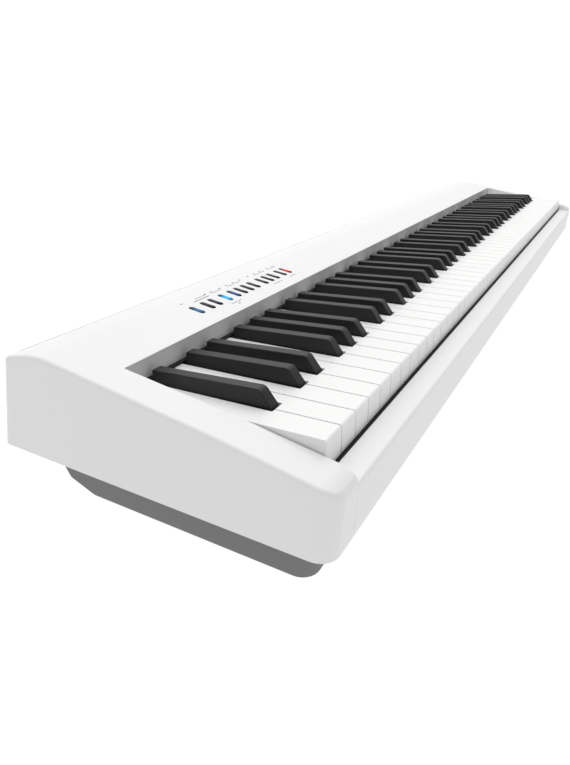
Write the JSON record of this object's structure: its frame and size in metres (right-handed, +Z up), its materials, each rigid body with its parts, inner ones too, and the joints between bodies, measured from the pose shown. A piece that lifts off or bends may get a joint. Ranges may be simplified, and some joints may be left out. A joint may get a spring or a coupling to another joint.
{
  "type": "digital piano",
  "caption": "Portable full-length digital piano: white case on a grey base tray, weighted keys hinged at the rear, row of lit capsule buttons, downward speakers.",
  "frame": {"origin": "centre of the bounding box at the level of the foot undersides", "axes": "+X along the keyboard to the treble side, -Y to the player, +Z up"},
  "size_m": [1.294, 0.2795, 0.1317],
  "materials": {
    "white_abs_case": "satin white moulded ABS",
    "fallboard_abs": "matte moulded ABS",
    "grey_abs_tray": "matte grey moulded ABS",
    "black_felt": "felt",
    "zinc_steel": "zinc plated folded sheet",
    "speaker_steel": "black painted basket",
    "grille_steel": "black painted perforated sheet",
    "board_laminate": "green solder mask",
    "socket_nylon": "moulded nylon",
    "foot_rubber": "moulded rubber",
    "button_abs": "moulded ABS with a lit edge",
    "key_white_acrylic": "satin white key cover",
    "key_black_matte": "matte textured key cover"
  },
  "bodies": {
    "case": {"top_case": "white_abs_case", "front_rail": "white_abs_case", "slip_felt": "black_felt", "key_stop_felt": "black_felt", "key_back_felt": "black_felt", "fallboard": "fallboard_abs", "base_tray": "grey_abs_tray", "speaker_left": "speaker_steel", "grille_left": "grille_steel", "speaker_right": "speaker_steel", "grille_right": "grille_steel", "foot_1": "foot_rubber", "foot_2": "foot_rubber", "foot_3": "foot_rubber", "foot_4": "foot_rubber", "key_chassis": "zinc_steel", "main_board": "board_laminate", "panel_board": "board_laminate", "jack_board": "board_laminate", "power_inlet": "socket_nylon", "pedal_jack": "socket_nylon"},
    "button_01": {"button_01": "button_abs"},
    "button_02": {"button_02": "button_abs"},
    "button_03": {"button_03": "button_abs"},
    "button_04": {"button_04": "button_abs"},
    "button_05": {"button_05": "button_abs"},
    "button_06": {"button_06": "button_abs"},
    "button_07": {"button_07": "button_abs"},
    "button_08": {"button_08": "button_abs"},
    "button_09": {"button_09": "button_abs"},
    "button_10": {"button_10": "button_abs"},
    "button_11": {"button_11": "button_abs"},
    "button_12": {"button_12": "button_abs"},
    "button_13": {"button_13": "button_abs"},
    "keys_bass_white": {"keys_bass_white": "key_white_acrylic"},
    "keys_bass_black": {"keys_bass_black": "key_black_matte"},
    "key_c4": {"key_c4": "key_white_acrylic"},
    "key_cs4": {"key_cs4": "key_black_matte"},
    "key_d4": {"key_d4": "key_white_acrylic"},
    "key_ds4": {"key_ds4": "key_black_matte"},
    "key_e4": {"key_e4": "key_white_acrylic"},
    "key_f4": {"key_f4": "key_white_acrylic"},
    "key_fs4": {"key_fs4": "key_black_matte"},
    "key_g4": {"key_g4": "key_white_acrylic"},
    "key_gs4": {"key_gs4": "key_black_matte"},
    "key_a4": {"key_a4": "key_white_acrylic"},
    "key_as4": {"key_as4": "key_black_matte"},
    "key_b4": {"key_b4": "key_white_acrylic"},
    "keys_treble_white": {"keys_treble_white": "key_white_acrylic"},
    "keys_treble_black": {"keys_treble_black": "key_black_matte"}
  },
  "joints": [
    {"name": "button_01_press", "type": "slide", "parent": "case", "child": "button_01", "axis": [0, 0.1231, -0.9924], "range_m": [0, 0.0007], "stiffness_N_per_m": 300, "springref_m": -0.0006},
    {"name": "button_02_press", "type": "slide", "parent": "case", "child": "button_02", "axis": [0, 0.1231, -0.9924], "range_m": [0, 0.0007], "stiffness_N_per_m": 300, "springref_m": -0.0006},
    {"name": "button_03_press", "type": "slide", "parent": "case", "child": "button_03", "axis": [0, 0.1231, -0.9924], "range_m": [0, 0.0007], "stiffness_N_per_m": 300, "springref_m": -0.0006},
    {"name": "button_04_press", "type": "slide", "parent": "case", "child": "button_04", "axis": [0, 0.1231, -0.9924], "range_m": [0, 0.0007], "stiffness_N_per_m": 300, "springref_m": -0.0006},
    {"name": "button_05_press", "type": "slide", "parent": "case", "child": "button_05", "axis": [0, 0.1231, -0.9924], "range_m": [0, 0.0007], "stiffness_N_per_m": 300, "springref_m": -0.0006},
    {"name": "button_06_press", "type": "slide", "parent": "case", "child": "button_06", "axis": [0, 0.1231, -0.9924], "range_m": [0, 0.0007], "stiffness_N_per_m": 300, "springref_m": -0.0006},
    {"name": "button_07_press", "type": "slide", "parent": "case", "child": "button_07", "axis": [0, 0.1231, -0.9924], "range_m": [0, 0.0007], "stiffness_N_per_m": 300, "springref_m": -0.0006},
    {"name": "button_08_press", "type": "slide", "parent": "case", "child": "button_08", "axis": [0, 0.1231, -0.9924], "range_m": [0, 0.0007], "stiffness_N_per_m": 300, "springref_m": -0.0006},
    {"name": "button_09_press", "type": "slide", "parent": "case", "child": "button_09", "axis": [0, 0.1231, -0.9924], "range_m": [0, 0.0007], "stiffness_N_per_m": 300, "springref_m": -0.0006},
    {"name": "button_10_press", "type": "slide", "parent": "case", "child": "button_10", "axis": [0, 0.1231, -0.9924], "range_m": [0, 0.0007], "stiffness_N_per_m": 300, "springref_m": -0.0006},
    {"name": "button_11_press", "type": "slide", "parent": "case", "child": "button_11", "axis": [0, 0.1231, -0.9924], "range_m": [0, 0.0007], "stiffness_N_per_m": 300, "springref_m": -0.0006},
    {"name": "button_12_press", "type": "slide", "parent": "case", "child": "button_12", "axis": [0, 0.1231, -0.9924], "range_m": [0, 0.0007], "stiffness_N_per_m": 300, "springref_m": -0.0006},
    {"name": "button_13_press", "type": "slide", "parent": "case", "child": "button_13", "axis": [0, 0.1231, -0.9924], "range_m": [0, 0.0007], "stiffness_N_per_m": 300, "springref_m": -0.0006},
    {"name": "keys_bass_white_press", "type": "hinge", "parent": "case", "child": "keys_bass_white", "pos_m": [0, 0.0985, 0.09888], "axis": [1, 0, 0], "range_deg": [0, 2.6], "stiffness_Nm_per_rad": 27.6, "springref_deg": -5.73},
    {"name": "keys_bass_black_press", "type": "hinge", "parent": "case", "child": "keys_bass_black", "pos_m": [0, 0.0985, 0.09888], "axis": [1, 0, 0], "range_deg": [0, 2.6], "stiffness_Nm_per_rad": 16, "springref_deg": -5.73},
    {"name": "key_c4_press", "type": "hinge", "parent": "case", "child": "key_c4", "pos_m": [0, 0.0985, 0.09888], "axis": [1, 0, 0], "range_deg": [0, 2.6], "stiffness_Nm_per_rad": 1.2, "springref_deg": -5.73},
    {"name": "key_cs4_press", "type": "hinge", "parent": "case", "child": "key_cs4", "pos_m": [0, 0.0985, 0.09888], "axis": [1, 0, 0], "range_deg": [0, 2.6], "stiffness_Nm_per_rad": 1, "springref_deg": -5.73},
    {"name": "key_d4_press", "type": "hinge", "parent": "case", "child": "key_d4", "pos_m": [0, 0.0985, 0.09888], "axis": [1, 0, 0], "range_deg": [0, 2.6], "stiffness_Nm_per_rad": 1.2, "springref_deg": -5.73},
    {"name": "key_ds4_press", "type": "hinge", "parent": "case", "child": "key_ds4", "pos_m": [0, 0.0985, 0.09888], "axis": [1, 0, 0], "range_deg": [0, 2.6], "stiffness_Nm_per_rad": 1, "springref_deg": -5.73},
    {"name": "key_e4_press", "type": "hinge", "parent": "case", "child": "key_e4", "pos_m": [0, 0.0985, 0.09888], "axis": [1, 0, 0], "range_deg": [0, 2.6], "stiffness_Nm_per_rad": 1.2, "springref_deg": -5.73},
    {"name": "key_f4_press", "type": "hinge", "parent": "case", "child": "key_f4", "pos_m": [0, 0.0985, 0.09888], "axis": [1, 0, 0], "range_deg": [0, 2.6], "stiffness_Nm_per_rad": 1.2, "springref_deg": -5.73},
    {"name": "key_fs4_press", "type": "hinge", "parent": "case", "child": "key_fs4", "pos_m": [0, 0.0985, 0.09888], "axis": [1, 0, 0], "range_deg": [0, 2.6], "stiffness_Nm_per_rad": 1, "springref_deg": -5.73},
    {"name": "key_g4_press", "type": "hinge", "parent": "case", "child": "key_g4", "pos_m": [0, 0.0985, 0.09888], "axis": [1, 0, 0], "range_deg": [0, 2.6], "stiffness_Nm_per_rad": 1.2, "springref_deg": -5.73},
    {"name": "key_gs4_press", "type": "hinge", "parent": "case", "child": "key_gs4", "pos_m": [0, 0.0985, 0.09888], "axis": [1, 0, 0], "range_deg": [0, 2.6], "stiffness_Nm_per_rad": 1, "springref_deg": -5.73},
    {"name": "key_a4_press", "type": "hinge", "parent": "case", "child": "key_a4", "pos_m": [0, 0.0985, 0.09888], "axis": [1, 0, 0], "range_deg": [0, 2.6], "stiffness_Nm_per_rad": 1.2, "springref_deg": -5.73},
    {"name": "key_as4_press", "type": "hinge", "parent": "case", "child": "key_as4", "pos_m": [0, 0.0985, 0.09888], "axis": [1, 0, 0], "range_deg": [0, 2.6], "stiffness_Nm_per_rad": 1, "springref_deg": -5.73},
    {"name": "key_b4_press", "type": "hinge", "parent": "case", "child": "key_b4", "pos_m": [0, 0.0985, 0.09888], "axis": [1, 0, 0], "range_deg": [0, 2.6], "stiffness_Nm_per_rad": 1.2, "springref_deg": -5.73},
    {"name": "keys_treble_white_press", "type": "hinge", "parent": "case", "child": "keys_treble_white", "pos_m": [0, 0.0985, 0.09888], "axis": [1, 0, 0], "range_deg": [0, 2.6], "stiffness_Nm_per_rad": 26.4, "springref_deg": -5.73},
    {"name": "keys_treble_black_press", "type": "hinge", "parent": "case", "child": "keys_treble_black", "pos_m": [0, 0.0985, 0.09888], "axis": [1, 0, 0], "range_deg": [0, 2.6], "stiffness_Nm_per_rad": 15, "springref_deg": -5.73}
  ]
}
